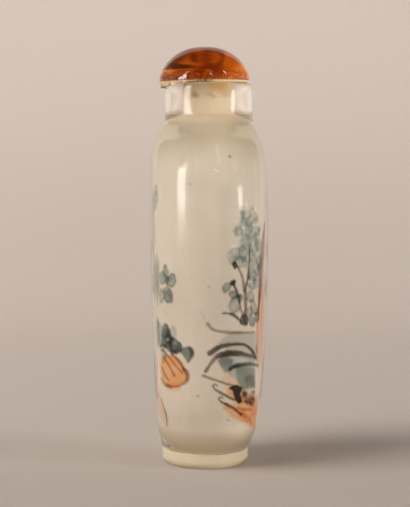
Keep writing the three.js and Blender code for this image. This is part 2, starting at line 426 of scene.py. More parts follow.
def noise(s, z, size, seed):
    """Smooth noise from 0 to 1 over the wall, with features about this many millimetres across."""
    lattice = np.random.default_rng(seed).random(NOISE_CELLS)
    u, v = s / size + 30.5, z / size + 7.5
    i, j = np.floor(u).astype(int), np.floor(v).astype(int)
    share_u, share_v = ease(u - i, 0, 1), ease(v - j, 0, 1)

    def at(column, row):
        return lattice[column % NOISE_CELLS[0], row % NOISE_CELLS[1]]

    low, high = (at(i, row) * (1 - share_u) + at(i + 1, row) * share_u for row in (j, j + 1))
    return low * (1 - share_v) + high * share_v


class Wall:
    """The wall as a picture: places are millimetres across from the near (-X) tip, towards +Y, and height."""

    def __init__(self, s, z):
        self.s, self.z = s, z
        self.colour = np.tile(np.array(FROST), (len(s), 1))
        self.grain = noise(s, z, 0.55, 11)
        self.cloud = noise(s, z, 1.7, 12)

    def lay(self, where, amount, tint):
        """Glazes a tint over the places picked, by amounts from 0 to 1."""
        self.colour[where] *= 1 - np.clip(amount, 0, 1)[:, None] * (1 - np.array(tint))

    def around(self, places, margin):
        """The wall's points in a box that leaves a margin round some places."""
        (low_s, low_z), (high_s, high_z) = np.min(places, axis=0) - margin, np.max(places, axis=0) + margin
        return np.nonzero((self.s > low_s) & (self.s < high_s) & (self.z > low_z) & (self.z < high_z))[0]


def along_curve(points):
    """A smooth path through a few places."""
    if len(points) < 3:
        return np.linspace(points[0], points[-1], 14)
    return evenly(eased(curve_through(points, 0.1), 6), 0.15)


def stroke(wall, points, width, tint, strength=0.9, soft=0.12):
    """A brush stroke through places on the wall, given as s and z by turns or in pairs. Width is one number, or
    several from start to end."""
    path = along_curve(np.reshape(points, (-1, 2)))
    widths = np.atleast_1d(np.asarray(width, float))
    spread = np.interp(np.linspace(0, 1, len(path)), np.linspace(0, 1, len(widths)), widths) / 2
    where = wall.around(path, spread.max() + 3 * soft)
    best = np.full(len(where), -9.0)
    for (s, z), half in zip(path, spread):
        best = np.maximum(best, half - np.hypot(wall.s[where] - s, wall.z[where] - z))
    edge = best + 0.05 + 0.12 * (wall.grain[where] - 0.5)
    amount = ease(edge, -soft, soft) * strength * (0.82 + 0.3 * wall.cloud[where])
    wall.lay(where, amount, tint)


def leaf(wall, s, z, length, width, angle, tint, strength=0.8, soft=0.14):
    """An oval dab of colour, a little darker round its edge; angle is from straight up, towards +Y."""
    where = wall.around([(s, z)], max(length, width) * 0.7 + 3 * soft)
    a = radians(angle)
    ds, dz = wall.s[where] - s, wall.z[where] - z
    along = dz * cos(a) + ds * sin(a)
    across = ds * cos(a) - dz * sin(a)
    narrowing = 1 - 0.35 * along / length
    away = np.hypot(along / (length / 2), across / (width / 2 * narrowing))
    away *= 1 + 0.3 * (noise(wall.s[where], wall.z[where], 0.42 * width + 0.2, int(abs(z) * 7) + 3) - 0.5)
    inward = (1 - away) * min(length, width) / 2 + 0.1 + 0.22 * (wall.grain[where] - 0.5)
    pooled = 0.80 + 0.30 * np.exp(-((inward - 0.12) / 0.2) ** 2) + 0.5 * (wall.cloud[where] - 0.5)
    pooled += 0.35 * (wall.grain[where] - 0.5)
    wall.lay(where, ease(inward, -soft, soft) * np.clip(strength * pooled, 0, 1), tint)


def wash(wall, corners, tint, strength=0.7, soft=0.35, second=None):
    """A broad wet area inside a loop of places, blending to a second tint towards its lower side."""
    loop = np.reshape(corners, (-1, 2))
    where = wall.around(loop, 3 * soft)
    s, z = wall.s[where], wall.z[where]
    inside = np.zeros(len(where), bool)
    nearest = np.full(len(where), 99.0)
    for (s0, z0), (s1, z1) in zip(loop, np.roll(loop, -1, axis=0)):
        crosses = (z0 > z) != (z1 > z)
        inside ^= crosses & (s < (s1 - s0) * (z - z0) / (z1 - z0 + 1e-12) + s0)
        run = max(1e-9, (s1 - s0) ** 2 + (z1 - z0) ** 2)
        t = np.clip(((s - s0) * (s1 - s0) + (z - z0) * (z1 - z0)) / run, 0, 1)
        nearest = np.minimum(nearest, np.hypot(s - s0 - t * (s1 - s0), z - z0 - t * (z1 - z0)))
    signed = np.where(inside, nearest, -nearest) + 0.5 * (wall.cloud[where] - 0.5)
    amount = ease(signed, -soft, soft) * strength * (0.75 + 0.5 * wall.cloud[where])
    share = 1.0 if second is None else ease(z, loop[:, 1].min(), loop[:, 1].max())
    wall.lay(where, amount * share, tint)
    if second is not None:
        wall.lay(where, amount * (1 - share), second)


def draw(wall, tool, *rows):
    """Lays every row with one tool: stroke, leaf or wash."""
    for row in rows:
        tool(wall, *row)


def leaf_cluster(wall, rng, s, z, spread_s, spread_z, count, tint, size=(0.9, 1.5)):
    """A soft clump of overlapping leaf dabs."""
    for _ in range(count):
        turn = rng.uniform(0, 2 * pi)
        out = sqrt(rng.random())
        at_s, at_z = s + spread_s * out * cos(turn), z + spread_z * out * sin(turn)
        length = rng.uniform(*size)
        leaf(wall, at_s, at_z, length, length * rng.uniform(0.55, 0.85), rng.uniform(-70, 70), tint,
             rng.uniform(0.45, 0.8))


def near_shrub(wall, rng):
    """The young tree on the front side of the near tip: grey-green leaves up a brown stem."""
    wash(wall, (-5.6, 48.9, -8.6, 49, -10.2, 45, -10.6, 38.6, -9.4, 35, -7.6, 37, -5.6, 39.4, -4.6, 41.6, -5.6, 44.6),
         LEAF_PALE, 0.5, 0.4)
    draw(
        wall, leaf,
        (-4.4, 39.1, 1.2, 0.75, 10, INK, 0.85),
        (-4, 35.8, 1, 0.8, -30, INK),
        (-6.3, 28.7, 2, 1.7, 0, INK, 0.95),
    )
    draw(
        wall, stroke,
        ((-7.5, 42, -7.3, 39.4, -7.1, 36.7, -6.5, 34.4, -6.6, 31.4, -6.4, 28.4), (0.25, 0.4, 0.5, 0.6, 0.9), BARK,
         0.85),
        ((-5.1, 38.5, -5.9, 36.6, -6.3, 34.2), (0.3, 0.55), SEPIA),
        ((-4.1, 35.7, -5.1, 33.3, -5.6, 30.8, -6.3, 28.8), (0.5, 0.35, 0.3), BARK, 0.8),
        ((-2.2, 30.2, -3.8, 30.1, -5.6, 28.6), (0.25, 0.5, 0.4), BARK, 0.95),
        ((-6.9, 30.9, -6.3, 30, -6.6, 29.2), 0.5, RUST, 0.6),
    )
    crown = ((-5.9, 49, 1, 1.5, 15), (-7.9, 48.6, 1.4, 1.1, 60), (-8.9, 47.6, 1.2, 1.5, 10),
             (-7.5, 47, 1.8, 1.4, 80), (-6, 46.9, 1.1, 1.3, -30), (-7.3, 45.4, 2.2, 1.4, 85),
             (-5.2, 45.3, 1.2, 1.5, -25), (-9.5, 45, 1.3, 1.7, 20), (-8.6, 44, 1.4, 1.3, -30),
             (-6.6, 43.3, 2.3, 1.7, 80), (-9.6, 42.8, 1.5, 1.9, 30), (-6.1, 41.4, 1.5, 2, 10),
             (-8.3, 41.8, 1.9, 1.8, 40), (-4.1, 40.9, 2.3, 1.8, 60), (-5.8, 39.6, 1.5, 1.8, 30),
             (-8.3, 39.6, 1.9, 1.5, 65), (-10.2, 39.4, 1.4, 2.2, 15), (-9.6, 37.8, 1.2, 1.6, -20),
             (-8, 37.2, 1.6, 2.2, 20), (-9.4, 35.9, 1.6, 2.4, -10), (-7.9, 34.9, 1.4, 1.2, 50))
    for s, z, width, length, angle in crown:
        leaf(wall, s, z, 1.2 * length, 1.2 * width, angle, LEAF_GREY, rng.uniform(0.5, 0.7))
        for _ in range(3):
            leaf(wall, s + rng.uniform(-0.8, 0.8), z + rng.uniform(-0.9, 0.9), rng.uniform(0.6, 1.1),
                 rng.uniform(0.4, 0.7), rng.uniform(-80, 80), LEAF_GREY, rng.uniform(0.3, 0.6))
        for _ in range(2):
            leaf(wall, s + rng.uniform(-1, 1), z + rng.uniform(-1.2, 1.2), rng.uniform(0.35, 0.7),
                 rng.uniform(0.25, 0.4), rng.uniform(-80, 80), PALE, rng.uniform(0.6, 1), 0.1)
    for dab in ((-2.9, 35.1, 1.4, 1.7, 50), (-4.5, 31.9, 3.6, 2, -20), (-4, 33.6, 1.6, 1.3, 40),
                (-5.4, 33, 1.6, 1, 10), (-7.6, 33.2, 1.9, 1.6, 20), (-8.6, 31, 3, 1.5, 24), (-8, 28.7, 2.5, 1.2, 6),
                (-7.5, 30.4, 1.8, 1, 0), (-9.5, 29.2, 1.6, 1.3, 40)):
        leaf(wall, *dab, LEAF_GREEN, 0.75)


def near_trunk(wall):
    """The big tree just round the near tip: a long bark line with warm light streaks under it."""
    wash(wall, (-10.5, 37.5, -13.4, 36.5, -14.5, 20, -10, 19.6, -9.4, 29), PINK, 0.85, 0.5)
    draw(
        wall, stroke,
        ((-12.6, 46.4, -11.5, 42.2, -10.9, 38, -10.4, 33.6, -9.8, 29.6), (0.8, 1.8, 1.5, 1, 0.5), RUST_BARK),
        ((-10.7, 36, -10, 30, -9.5, 25, -9.9, 21), (0.5, 0.8, 0.6, 0.4), ORANGE, 0.6),
        ((-11.7, 35, -11.1, 29, -10.6, 24.2), (0.3, 0.6, 0.3), ORANGE, 0.6),
        ((-12.6, 34, -12, 28, -11.4, 22.2), (0.3, 0.5, 0.3), RUST, 0.35),
        ((-9.8, 26, -9.7, 22.6, -10.2, 19.6), (0.3, 0.6, 0.4), OLIVE, 0.45, 0.3),
    )


def near_rock(wall):
    """The grey rock below the young tree, with its dark contour strokes."""
    draw(
        wall, wash,
        ((-1.4, 24.6, -2.4, 26, -4, 26.6, -8.9, 26.4, -9.6, 21.8, -9.3, 20.4, -5, 22), PALE_GREY, 1, 0.25),
        ((-1.2, 21.6, -3, 22.6, -9.4, 21.6, -9.3, 15.8, -6.2, 15.6, -5, 17.6, -3.6, 18.6, -2.4, 19.6), LEAF_PALE, 0.9,
         0.3),
        ((-1.2, 21.6, -2.6, 22.4, -4, 21.4, -3.6, 19.4, -2.6, 18.8), LEAF_GREEN, 0.72, 0.3),
        ((-4.6, 20.2, -9.4, 19.6, -9.3, 15.8, -6.2, 15.6, -5, 17.6), LEAF_GREEN, 0.66, 0.35, OLIVE),
        ((-6.6, 18.2, -9.4, 18.4, -9.4, 15.8, -6.8, 15.7), OLIVE, 0.5, 0.5),
    )
    draw(
        wall, stroke,
        ((0.3, 28.3, -0.5, 27.3, -2.4, 26.75, -5.1, 26.5, -8.6, 26.4), (0.5, 0.45, 0.3), SEPIA, 0.8),
        ((-0.1, 22.8, -1.5, 23.9, -3.9, 24.4, -6.3, 24.2, -7.8, 23.3, -9.5, 21.3), (0.95, 0.85, 0.5, 0.42, 0.6, 0.6),
         BARK, 0.95),
        ((-0.1, 22.8, -0.8, 23.4, -1.8, 24), (0.6, 0.7, 0.4), INK, 0.55),
        ((0.6, 19.4, -0.1, 20.6, -1.2, 22.1, -2.6, 22.7, -4.7, 22.7, -7, 22.2, -9.2, 21.5), (0.5, 0.5, 0.95, 1.05,
         0.9, 0.6, 0.45), BARK, 0.93),
        ((-1.2, 22.1, -2.6, 22.7, -4.2, 22.7), (0.4, 0.6, 0.3), INK, 0.45),
        ((-3.6, 19.7, -4.5, 20.3, -6, 20.5, -8, 20.4, -10.2, 19.9), (0.65, 0.8, 0.75, 0.6, 0.4), DEEP_GREEN, 0.95),
        ((-3.6, 19.7, -4.4, 20.2, -6.8, 20.5), (0.4, 0.5, 0.3), INK, 0.6),
    )


def near_bank(wall, rng):
    """The warm bank at the foot of the rock, with hooked grass strokes and an ink blot."""
    draw(
        wall, wash,
        ((-1.8, 18, -3.6, 19.4, -5.2, 17.4, -6.6, 15.4, -5.6, 14, -3, 15.2), PEACH, 0.75, 0.45),
        ((-2.4, 16.4, -5.6, 14.6, -9.6, 14.2, -13, 14, -13, 7.6, -9.6, 8, -6.4, 9.6, -3.6, 10.9, -2.6, 12.6, -4.4,
         13.4), ORANGE, 0.8, 0.45),
        ((-5.6, 11.8, -9.6, 12.4, -12, 12, -12, 8, -9, 8.4, -6.6, 9.8), ORANGE, 0.45, 0.5),
        ((-3, 16.2, -4.8, 16.7, -6.1, 16.1, -5.4, 14.9, -5.9, 13.4, -5.2, 13.1, -4.5, 14.4, -4.2, 15.8), INK, 1,
         0.16),
        ((-5.8, 15.3, -7.6, 15.4, -9.4, 15.2, -9.6, 12.4, -7.6, 12.8, -6, 13.4), SEPIA, 0.5, 0.3),
    )
    leaf(wall, -8.2, 13.4, 1.3, 1, 30, RUST, 0.85)
    draw(
        wall, stroke,
        ((0.9, 18.6, -1.1, 17.8, -2.8, 17.1, -4.8, 16.4), (0.45, 0.4, 0.35), SEPIA),
        ((-1.4, 16.75, -1, 17.05, -0.65, 16.7, -1.1, 16, -2.4, 15.1, -4.1, 14.1, -5.7, 13.5), (0.2, 0.3, 0.45, 0.42,
         0.38, 0.35), BARK),
        ((-2.4, 14.3, -2, 14.65, -1.65, 14.3, -2.2, 13.6, -4.1, 12.5, -5.8, 11.1), (0.2, 0.3, 0.45, 0.42, 0.35), BARK,
         0.85),
        ((-2.7, 13.4, -4.1, 12.5, -5.8, 11), (0.3, 0.4), RUST, 0.7),
        ((-5.2, 12.3, -6.6, 12, -8.4, 11.7), (0.5, 0.4), RUST, 0.7),
        ((-6.2, 11.2, -7.8, 10.2, -9.4, 8.8), (0.5, 0.6), RUST, 0.6),
        ((-4.8, 11.8, -6.2, 10.8, -7.4, 9.6), (0.3, 0.4), RUST, 0.5),
    )
    for _ in range(22):
        s, z = rng.uniform(-9.4, -5.8), rng.uniform(12.9, 15.4)
        stroke(wall, ((s, z), (s - rng.uniform(0.2, 0.7), z - rng.uniform(0.2, 0.8))), (0.35, 0.25),
               rng.choice((BARK, SEPIA, RUST)), 0.75)
    for _ in range(6):
        leaf(wall, rng.uniform(-8.8, -5.8), rng.uniform(13.2, 15.2), 0.45, 0.35, 0, PALE, 0.9, 0.1)


def back_side_of_tip(wall, rng):
    """What shows on the back (+Y) side of the near tip: leaves, dark clumps and a warm round rock."""
    draw(
        wall, wash,
        ((8.6, 27.2, 11.4, 28.4, 12.4, 26.6, 11.8, 23.4, 9.8, 23, 8.4, 24.4), LEAF_GREY, 0.8, 0.4),
        ((5.3, 23.1, 4.6, 23.65, 3.6, 23.95, 3, 23.6, 2.75, 22.6, 3.1, 21.7, 3.7, 20.9, 4.1, 21.6, 4.6, 22.4),
         LEAF_GREEN, 0.9, 0.2),
        ((7.2, 22.3, 5.2, 21.5, 3.5, 19.2, 3.4, 17.6, 5.2, 16.4, 8, 16.2, 9.7, 17, 10.2, 20, 9.2, 22), ORANGE, 0.95,
         0.3),
        ((8.6, 16.6, 4.6, 16.8, 5, 15.6, 8.4, 15.3), PEACH, 0.9, 0.35),
        ((7.6, 22.8, 9.8, 22.8, 10, 20.8, 8.8, 20.4), OLIVE, 0.5, 0.35),
        ((11, 22, 14.6, 22, 15.6, 15.6, 11, 15.6), PINK, 0.6, 0.5),
        ((11.4, 14.3, 9.8, 13.2, 8.6, 10.4, 8.1, 8.4, 9.2, 8.1, 12.6, 9.6, 14.4, 14), PEACH, 0.95, 0.35),
    )
    draw(
        wall, stroke,
        ((14.2, 52.5, 14.4, 47.8, 13.6, 42.2, 13, 38), (1.2, 1.5, 1.2, 0.8), DEEP_GREEN, 0.72, 0.4),
        ((12.6, 47.5, 12.4, 44.8, 12, 43.2), (0.4, 0.8, 0.4), LEAF_GREY, 0.6, 0.3),
        ((11.3, 28.9, 10.9, 26.8, 10.6, 24.4), (0.3, 0.6, 0.4), DEEP_GREEN, 0.6, 0.25),
        ((10.2, 23.6, 8.8, 23.9, 7.3, 23.3, 6, 22.7), (0.4, 0.6, 0.5, 0.4), INK, 0.8),
        ((9.9, 22.9, 8.8, 22.7, 8.2, 22), (0.4, 0.5, 0.3), BARK, 0.8),
        ((3.4, 23.7, 2.95, 23, 3.1, 21.9, 3.6, 21.1), (0.4, 0.7, 0.6, 0.3), DEEP_GREEN, 0.75, 0.2),
        ((7, 22.4, 5.4, 21.2, 4.3, 19.6), (0.35, 0.45, 0.4), RUST_BARK, 0.75),
        ((4.6, 20, 3.7, 18.8, 3.9, 17.4, 4.9, 16.7), (0.3, 0.8, 0.6, 0.3), SEPIA, 0.8),
        ((9.9, 17.4, 8.6, 16.4, 7.2, 16.2, 5.2, 16.4), (0.3, 0.65, 0.5, 0.25), SEPIA_GOLD),
        ((7.9, 16.5, 7.1, 16), (0.5, 0.4), SEPIA, 0.6),
        ((9, 21.6, 7.7, 20.3, 6.3, 18.4), (0.4, 0.35, 0.5), RUST, 0.85),
        ((8, 22.1, 6.6, 20.8, 4.7, 19), (0.35, 0.35), RUST, 0.8),
        ((9.4, 19.4, 8.7, 18.4, 7.7, 17.4), (0.4, 0.5, 0.4), SEPIA, 0.7),
        ((11.2, 22.4, 11, 19, 10.7, 16), (0.3, 0.5, 0.3), PALE, 0.9, 0.2),
        ((10.1, 13.4, 9.2, 12, 8.5, 10.7, 8.3, 9.6, 8.4, 8.6), (0.25, 0.3, 0.65, 0.6, 0.4), SEPIA, 0.85),
    )
    draw(
        wall, leaf,
        (8.4, 37.9, 2.1, 1.2, 6, LEAF_GREEN, 0.95), (7, 36.3, 2.6, 2, -30, LEAF_GREEN, 1),
        (9.3, 36.5, 2.4, 1.7, 10, LEAF_GREY, 0.95), (8.1, 36, 1.6, 0.9, -30, LEAF_GREEN, 0.6),
        (7.9, 33.4, 2.9, 2.4, 8, LEAF_GREEN, 1), (7.9, 33.2, 2.4, 1.9, 10, DEEP_GREEN, 0.55),
        (9.6, 33, 2.4, 1.4, 0, LEAF_GREEN, 0.8), (6.9, 26.2, 2.6, 1.8, -5, PALE_GREY, 1),
        (8.5, 26.5, 2.5, 2.2, 0, DEEP_GREEN, 1), (7.7, 25.1, 2.4, 2, 20, LEAF_GREEN, 1),
        (6.35, 24, 3.3, 2.6, 30, DEEP_GREEN, 1), (6.5, 24.3, 2.4, 1.6, 30, DEEP_GREEN, 0.6),
        (8.4, 26.4, 1.6, 1.2, 0, DEEP_GREEN, 0.6), (7.6, 23.9, 2, 1.8, -20, DEEP_GREEN, 0.9),
        (9.2, 24.2, 1.6, 1.6, 30, LEAF_GREEN, 0.9),
    )
    for s, z in ((11.3, 51.4), (12.2, 50.2), (12.9, 48.9), (11.6, 52.6), (13.6, 50.8)):
        leaf(wall, s, z, 2.2, 1.3, rng.uniform(-20, 20), LEAF_GREY, 0.85)
    for _ in range(4):
        leaf(wall, 8.4 + rng.uniform(-0.3, 0.3), 34.9 + rng.uniform(-0.5, 0.4), 0.6, 0.4, rng.uniform(-40, 40),
             PALE, 0.9, 0.1)
    streaks = ((10.5, 39.6, 33.4), (11.1, 40.6, 31.4), (11.8, 40.2, 32.6), (12.6, 38.4, 31.8), (13.4, 38, 33))
    for s, top, low in streaks:
        stroke(wall, ((s, top), (s + 0.2, (top + low) / 2), (s - 0.1, low)), (0.3, 0.8, 0.4), LEAF_GREEN, 0.7, 0.25)


def broad_face(wall, rng, side, rich):
    """The picture on a broad face, mostly out of the photo's sight: a tree, rocks, far hills and a shore.
    Side is -1 for the front (-Y) face and 1 for the back one; rich is the share of its figures painted."""

    def across(offset):
        return side * (FACE_MIDDLE_S + offset)

    for offset, z, reach in ((-4, 40, 6), (5, 42, 7), (1, 38, 8)):
        hill = [(across(offset + reach * t), z + 2.4 * cos(1.6 * t) - 1.5 * t * t)
                for t in (-1, -0.5, 0, 0.5, 1)]
        hill += [(across(offset + reach), z - 3), (across(offset - reach), z - 3)]
        wash(wall, hill, PALE_GREY, 0.35 * rich + 0.15, 1.2)
    trunk = [(across(-7), 15.5), (across(-7.6), 22), (across(-5.2), 29), (across(-5.6), 36), (across(-2.6), 43)]
    stroke(wall, trunk, (1.5, 1.2, 0.9, 0.7, 0.3), BARK, 0.8, 0.18)
    stroke(wall, [(s + 0.35, z) for s, z in trunk[:4]], (0.3, 0.3), INK, 0.7)
    limbs = ((29, -5.2, -10.5, 34.5), (31.5, -5.3, 1.5, 36.5), (36, -5.4, -9.5, 41.5), (39, -4.2, 3, 44),
             (25, -6.2, -1, 28))
    for z, start, end, top in limbs:
        limb = ((across(start), z), (across((start + end) / 2), (z + top) / 2 + 0.8), (across(end), top))
        stroke(wall, limb, (0.6, 0.4, 0.2), BARK, 0.85)
        leaf_cluster(wall, rng, across(end), top, 3.4, 2.0, int(15 * rich), LEAF_GREY)
        leaf_cluster(wall, rng, across(end), top - 0.5, 2.6, 1.5, int(9 * rich), LEAF_GREEN, (0.7, 1.2))
    leaf_cluster(wall, rng, across(-3), 46, 4.5, 2.3, int(22 * rich), LEAF_GREY)
    rocks = ((-9.5, 14, 4.5, 7.5, LEAF_GREY, OLIVE), (-2.5, 12.5, 5, 5.5, ORANGE, PEACH),
             (4.5, 12, 4, 4.2, LEAF_GREY, OLIVE), (10, 12.5, 3.4, 3.4, PEACH, ORANGE))
    for offset, z, wide, tall, tint, low in rocks:
        rock = [(across(offset + wide * cos(t)), z + tall * sin(t) * rng.uniform(0.85, 1.1))
                for t in np.linspace(0, pi, 9)]
        rock += [(across(offset + reach * wide), z - 1.4) for reach in (-0.6, 0.6)]
        wash(wall, rock, tint, 0.75, 0.35, low)
        for k in range(4):
            inner = 1 - 0.22 * k
            contour = [(across(offset + inner * wide * cos(t)), z + inner * tall * sin(t))
                       for t in (0.5, 1.1, 1.7, 2.4 - 0.2 * k)]
            stroke(wall, contour, (0.3, 0.6, 0.4), RUST if tint is ORANGE else BARK, 0.8)
    for _ in range(int(26 * rich)):
        s, z = across(rng.uniform(-13, 13)), rng.uniform(10.5, 14.0)
        blade = (s, z, s + rng.uniform(-0.4, 0.4), z + 0.8, s + rng.uniform(-0.9, 0.9), z + rng.uniform(1.2, 1.9))
        stroke(wall, blade, (0.35, 0.15), DEEP_GREEN, 0.7)
    for k in range(int(6 * rich)):
        s, z = across(rng.uniform(3, 8)), 21.5 + 1.6 * k
        stroke(wall, ((s - 2.6, z), (s, z + 0.15), (s + 2.4, z - 0.1)), (0.15, 0.3, 0.15), LEAF_GREY, 0.5)


def far_tip(wall, rng):
    """The hidden narrow side: left almost plain, with a few leaves that reach round from the faces."""
    for side in (-1, 1):
        leaf_cluster(wall, rng, side * (FAR_TIP_S - 8), 44, 1.8, 2.6, 9, LEAF_GREY)
        bank = [(side * (FAR_TIP_S - back), z) for back, z in ((10, 13.5), (7, 14.2), (4, 13.8))]
        stroke(wall, bank, (0.5, 0.35, 0.2), SEPIA, 0.7)


def wear_and_painted_light(wall, seam):
    """Handling and age inside: a stained bore, clouding, grit and scratches, and a yellowed shoulder. Light and shade
    are painted in too: the lower body, the bore and the far half below the neck painted paler, the shoulder painted
    darker, and one short painted highlight.
    Seam is how far each place is from the far tip, where the picture's two ends meet."""
    s, z = wall.s, wall.z
    clouding = 0.06 * (noise(s, z, 9, 3) - 0.5) + 0.05 * (noise(s, z, 3.1, 4) - 0.5)
    streaks = 0.035 * (noise(s, z * 0.12, 0.8, 5) - 0.5)
    # Painted light: the film is painted paler over the lower body, and much paler near its bottom.
    painted_light_belly, low = 1 - ease(z, 8, 40), 1 - ease(z, 6, 11)
    # Painted shade darkens the shoulder, which is also yellowed; painted light makes the bore paler and warmer.
    shoulder, bore = ease(z, 56.5, 61.5), ease(z, 63.2, 65.6)
    # Painted light on the far half just below the neck.
    painted_light_far_neck = ease(abs(s) - seam, 0, 3) * ease(z, 60, 63)
    clouding_and_painted_light = (1 + (clouding + streaks) * ease(seam, 0, 3)) * (1 + 0.3 * painted_light_far_neck)
    clouding_and_painted_light *= 1.01 + 0.14 * painted_light_belly + 0.6 * low - 0.10 * shoulder + 0.34 * bore
    wall.colour *= clouding_and_painted_light[:, None]
    ragged = 0.9 * (noise(s, z, 1.9, 6) - 0.5)
    stained = ease(z + 1.6 * ragged, 69.9, 72.4) * (0.45 + 0.9 * noise(s, z, 2.6, 8))
    for amount, tint in ((shoulder, YELLOWED), (bore, WARMED), (stained, BORE_STAIN)):
        wall.lay(slice(None), amount, tint)
    rng = random.Random(5)
    for _ in range(14):
        leaf(wall, rng.uniform(-9, 9), rng.uniform(70.2, 71.0), rng.uniform(0.3, 0.7), rng.uniform(0.2, 0.35),
             rng.uniform(40, 140), SEPIA, rng.uniform(0.12, 0.3), 0.3)
    draw(wall, leaf, (2.6, 70.5, 0.8, 1.9, 15, SMUDGE, 0.5, 0.3), (-0.4, 70.6, 0.5, 1.0, -10, SMUDGE, 0.35, 0.3))
    for _ in range(60):
        leaf(wall, rng.choice((-1, 1)) * rng.uniform(12, 46), rng.uniform(8, 64), rng.uniform(0.2, 0.4),
             rng.uniform(0.18, 0.3), rng.uniform(0, 180), SEPIA, rng.uniform(0.2, 0.5), 0.08)
    for place in ((-3.7, 58.4), (0.1, 35.2), (8.3, 30.0), (1.8, 14.7), (-3.4, 10.2), (3.2, 53.8)):
        leaf(wall, *place, 0.28, 0.2, 60, SEPIA, 0.42, 0.09)
    # A painted highlight: a short pale streak high on the near tip.
    stroke(wall, ((-1.6, 60.0), (-1.8, 57.6)), 0.5, PAINTED_HIGHLIGHT_STREAK, 0.8, 0.3)
    for _ in range(7):
        s0, z0 = rng.uniform(-40, 40), rng.uniform(15, 60)
        stroke(wall, ((s0, z0), (s0 + rng.uniform(-1, 1), z0 + rng.uniform(-2, 2))), 0.12, PALE_GREY, 0.6, 0.06)


def paint_wall(half, s, z, seam):
    """Paints one half of the inner wall into its colour layer."""
    wall = Wall(s, z)
    rng = random.Random(21)
    broad_face(wall, rng, -1, 1.0)
    broad_face(wall, rng, 1, 0.6)
    far_tip(wall, rng)
    back_side_of_tip(wall, rng)
    near_trunk(wall)
    near_rock(wall)
    near_bank(wall, rng)
    near_shrub(wall, rng)
    wear_and_painted_light(wall, seam)
    wall.colour *= np.minimum(1, PALEST / wall.colour.max(axis=1))[:, None]
    add_layer(half, "paint", np.clip(wall.colour, 0.002, PALEST))


def frosted_paint():
    graph = material_graph("frosted_paint")
    grain = graph.noise(2600, 3)
    paint = graph.scaled(graph.layer("paint", "Color"), graph.ranged(grain, 0.93, 1.07, "To"))
    skin = graph.add("BsdfPrincipled", {"Base Color": paint, "Roughness": 0.85, "Specular IOR Level": 0.1,
                                        "Normal": graph.bump(grain, 0.25, 0.0001)})
    glow = graph.add("BsdfTranslucent", {"Color": paint})
    return graph.end(graph.add("MixShader", {"Fac": FILM_GLOW, 1: skin, 2: glow}))


# ---- the stopper, its cement and its cork

TOP_Z = 80.0
STOPPER_RADIUS = 8.7
STOPPER_SHIFT_Y = 0.92
STOPPER_TILT = radians(1)
STOPPER_EDGE = 0.15
DOME_SIDE_POWER = 2.3
DOME_TOP_POWER = 1.6
CLEARANCE = 0.3
STOPPER_BASE_Z = RIM_Z + CLEARANCE + STOPPER_RADIUS * sin(STOPPER_TILT)
CEMENT_DEPTH = 1.4
CEMENT_END_Y = 0.6
CEMENT_TOP = 0.06  # its upper face lies just inside the glass of the dome
CEMENT_UNDERSIDE = 0.02
BAND_HEIGHT = 2.0
PEBBLE_SHARE = 0.0028
BED_DARK = (0.20, 0.045, 0.008)
BED_LIGHT = (0.62, 0.28, 0.025)
BED_PAINTED_GLOW = (0.95, 0.60, 0.12)
CORK_TOP_RADIUS = 2.9
CORK_BOTTOM_RADIUS = 2.6
CORK_TOP_Z = 72.9
CORK_LENGTH = 2.4
CORK_EDGE = 0.35
DOME_SIDES = 288


def stopper_place(obj):
    """Stands a piece made in the stopper's own frame where the stopper is."""
    obj.location = Vector((0, STOPPER_SHIFT_Y, STOPPER_BASE_Z)) * MM
    obj.rotation_euler = (-STOPPER_TILT, 0, 0)


def turned(name, profile, sides, pits):
    """A turned solid from (radius, height) pairs that start and end on the axis, and its points. Pits gives the
    share by which each point is drawn in, from its turn and its height."""
    angles = np.arange(sides) * 2 * pi / sides
    rings = []
    for radius, height in profile[1:-1]:
        reach = radius * (1 - pits(np.arctan2(np.sin(angles), np.cos(angles)), np.full(sides, height)))
        rings.append(np.stack([reach * np.cos(angles), reach * np.sin(angles), np.full(sides, height)], 1))
    ends = [(0, 0, profile[0][1]), (0, 0, profile[-1][1])]
    return capped(name, rings, *ends), np.vstack(rings + [ends])


def dome_profile():
    height = TOP_Z - STOPPER_BASE_Z
    profile = [(0, 0), (0.5 * STOPPER_RADIUS, 0)] + [(STOPPER_RADIUS - n * STOPPER_EDGE, 0) for n in (2, 1)]
    for angle in np.concatenate([np.linspace(0, 0.2, 30), np.linspace(0.2, pi / 2, 90)[1:-1]]):
        z = STOPPER_EDGE + (height - STOPPER_EDGE) * sin(angle) ** (2 / DOME_TOP_POWER)
        profile.append((STOPPER_RADIUS * cos(angle) ** (2 / DOME_SIDE_POWER), z))
    return profile + [(0, height)]


def dome_pebbles(turn, height):
    place = turn * STOPPER_RADIUS
    pits = noise(place, height, 0.6, 31) + 0.6 * noise(place, height, 0.3, 32)
    return PEBBLE_SHARE * pits * window(height, 0.05, 0.3, BAND_HEIGHT - 0.9, BAND_HEIGHT + 0.4)


